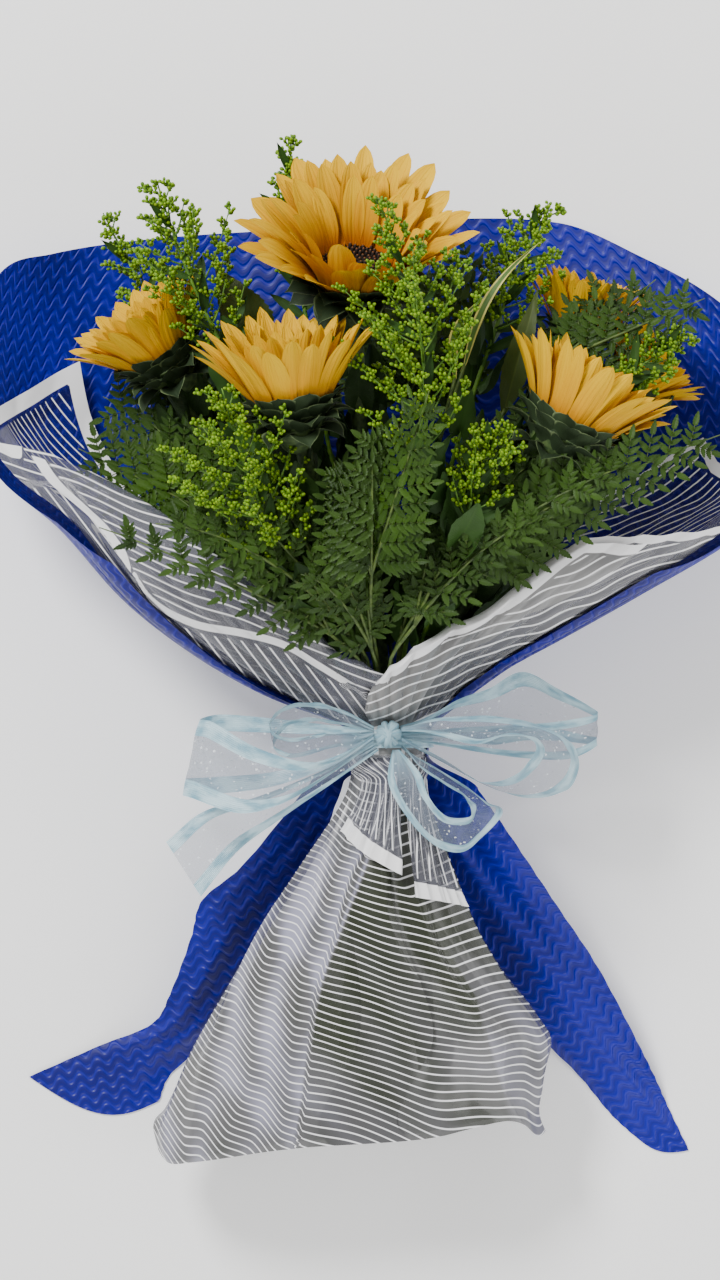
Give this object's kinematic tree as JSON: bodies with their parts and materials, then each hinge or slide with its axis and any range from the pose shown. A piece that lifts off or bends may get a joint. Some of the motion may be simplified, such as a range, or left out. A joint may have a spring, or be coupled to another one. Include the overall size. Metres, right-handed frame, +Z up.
{
  "type": "bunch of sunflowers",
  "caption": "Hand-tied bunch of sunflowers with goldenrod and fern, wrapped in blue film and striped clear film with a ribbon bow, lying on its back.",
  "frame": {"origin": "on the surface, under the middle of the box that holds the whole bunch", "axes": "+Y from the cut stems to the flower heads, +X across the bunch to the right as seen from above with the heads away from the viewer, +Z up from the surface it lies on"},
  "size_m": [0.5042, 0.618, 0.2701],
  "materials": {
    "sunflower_petal": "golden yellow ray petals with lengthwise grooves, warmer at the root",
    "sunflower_disc": "dark brown florets in relief",
    "sunflower_green": "dark green hairy stems and bracts with paler edges",
    "goldenrod": "yellow-green buds on fine green twigs",
    "fern": "deep green leathery leaflets, satin",
    "striped_blade": "green blades with cream-yellow edges",
    "broad_leaf": "olive green leaf, satin",
    "blue_film": "royal blue film embossed with a fine woven relief",
    "striped_clear_film": "clear film printed with fine white lines, white border",
    "sheer_ribbon": "ice-blue organza with satin edges",
    "raffia_tie": "pale twisted tie"
  },
  "bodies": {
    "root": {"blue_film_left": "blue_film", "blue_film_right": "blue_film", "clear_film_left": "striped_clear_film", "clear_film_right": "striped_clear_film", "clear_film_skirt": "striped_clear_film", "fern_back": "fern", "fern_bottom": "fern", "fern_far_left": "fern", "fern_far_right": "fern", "fern_left": "fern", "fern_left_front": "fern", "fern_left_low": "fern", "fern_middle": "fern", "fern_right": "fern", "fern_right_front": "fern", "fern_right_low": "fern", "goldenrod_back_left": "goldenrod", "goldenrod_back_right": "goldenrod", "goldenrod_far_right": "goldenrod", "goldenrod_front": "goldenrod", "goldenrod_left": "goldenrod", "goldenrod_low_right": "goldenrod", "goldenrod_middle": "goldenrod", "goldenrod_top": "goldenrod", "leaf_left": "broad_leaf", "leaf_right": "broad_leaf", "ribbon_band": "sheer_ribbon", "ribbon_knot": "sheer_ribbon", "ribbon_loop_left": "sheer_ribbon", "ribbon_loop_right_front": "sheer_ribbon", "ribbon_loop_right_low": "sheer_ribbon", "ribbon_loop_right_upper": "sheer_ribbon", "ribbon_tail_left": "sheer_ribbon", "striped_blade_middle": "striped_blade", "striped_blade_right": "striped_blade", "sunflower_back_disc": "sunflower_disc", "sunflower_back_petals": "sunflower_petal", "sunflower_back_stem": "sunflower_green", "sunflower_far_right_disc": "sunflower_disc", "sunflower_far_right_petals": "sunflower_petal", "sunflower_far_right_stem": "sunflower_green", "sunflower_front_disc": "sunflower_disc", "sunflower_front_petals": "sunflower_petal", "sunflower_front_stem": "sunflower_green", "sunflower_left_disc": "sunflower_disc", "sunflower_left_petals": "sunflower_petal", "sunflower_left_stem": "sunflower_green", "sunflower_right_disc": "sunflower_disc", "sunflower_right_petals": "sunflower_petal", "sunflower_right_stem": "sunflower_green", "sunflower_top_disc": "sunflower_disc", "sunflower_top_petals": "sunflower_petal", "sunflower_top_stem": "sunflower_green", "tie": "raffia_tie"}
  },
  "joints": []
}
